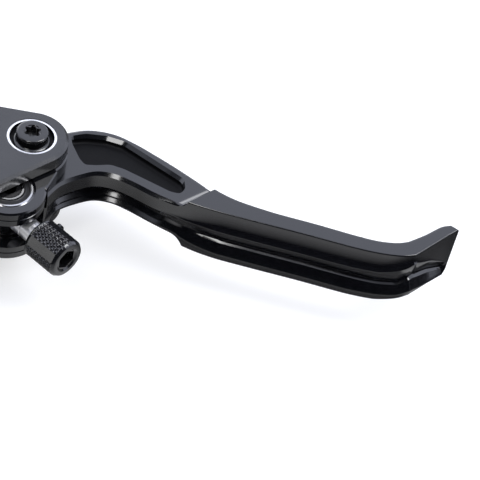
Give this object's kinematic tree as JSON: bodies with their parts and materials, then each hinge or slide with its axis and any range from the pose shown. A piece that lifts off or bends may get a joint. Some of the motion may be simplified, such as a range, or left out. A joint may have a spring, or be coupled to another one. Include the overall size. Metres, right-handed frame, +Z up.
{
  "type": "clutch lever",
  "caption": "Hydraulic clutch lever: arched blade with a finger groove, forked hub, knurled reach knob, pushrod barrel and a clamp-on master cylinder perch.",
  "frame": {"origin": "centre of the handlebar bore, halfway along the clamp", "axes": "+X along the handlebar towards the lever's tip, +Y forward away from the rider, +Z up, parallel to the lever pivot"},
  "size_m": [0.18, 0.1386, 0.0521],
  "materials": {
    "black_anodised": "satin black anodised",
    "black_anodised_lever": "black anodised, milled faces satin and grooves polished",
    "stainless": "polished stainless steel",
    "black_steel": "black oxide",
    "bronze": "plain sintered bronze",
    "bearing_steel": "ground",
    "black_rubber": "smooth",
    "seal_rubber": "matt",
    "knob_black": "black anodised, knurled",
    "gold_anodised": "hard anodised",
    "spring_steel": "drawn wire"
  },
  "bodies": {
    "perch": {"housing": "black_anodised", "clamp_cap": "black_anodised", "clamp_bolts": "stainless", "pivot_screw": "black_steel", "pivot_sleeve": "stainless", "pivot_nut": "stainless", "stop_washer": "stainless", "retaining_ring": "spring_steel", "return_spring": "spring_steel", "dust_seal": "seal_rubber", "reservoir_spigot": "black_anodised", "spigot_o_ring": "black_rubber", "spigot_clip": "spring_steel"},
    "lever_arm": {"lever": "black_anodised_lever", "pivot_bush_upper": "bronze", "pivot_bush_lower": "bronze", "bearing_outer_upper": "bearing_steel", "bearing_outer_lower": "bearing_steel", "bearing_seal_upper": "black_rubber", "bearing_seal_lower": "black_rubber"},
    "trunnion": {"barrel": "black_steel", "bearing_inner_upper": "bearing_steel", "bearing_inner_lower": "bearing_steel"},
    "adjuster": {"pushrod": "stainless", "knob": "knob_black", "knob_grub_screw": "black_steel"},
    "plunger": {"piston": "gold_anodised", "primary_cup": "black_rubber", "secondary_seal": "black_rubber"}
  },
  "joints": [
    {"name": "lever_pivot", "type": "hinge", "parent": "perch", "child": "lever_arm", "pos_m": [0.038, 0.042, 0], "axis": [0, 0, -1], "range_deg": [0, 24], "stiffness_Nm_per_rad": 1.6, "springref_deg": -20.05},
    {"name": "barrel_swivel", "type": "hinge", "parent": "lever_arm", "child": "trunnion", "pos_m": [0.0456, 0.0255, 0], "axis": [0, 0, 1], "range_deg": [0, 24.5]},
    {"name": "reach_knob", "type": "hinge", "parent": "trunnion", "child": "adjuster", "pos_m": [0.0456, 0.0255, 0], "axis": [1, 0, 0], "range_deg": [-360, 360]},
    {"name": "piston_slide", "type": "slide", "parent": "perch", "child": "plunger", "axis": [-1, 0, 0], "range_m": [0, 0.0078], "deforming": ["return_spring"]}
  ],
  "couplings": [
    {"joint": "barrel_swivel", "follows": "lever_pivot", "ratio": 1},
    {"joint": "piston_slide", "follows": "lever_pivot", "m_per_rad": 0.0176}
  ]
}
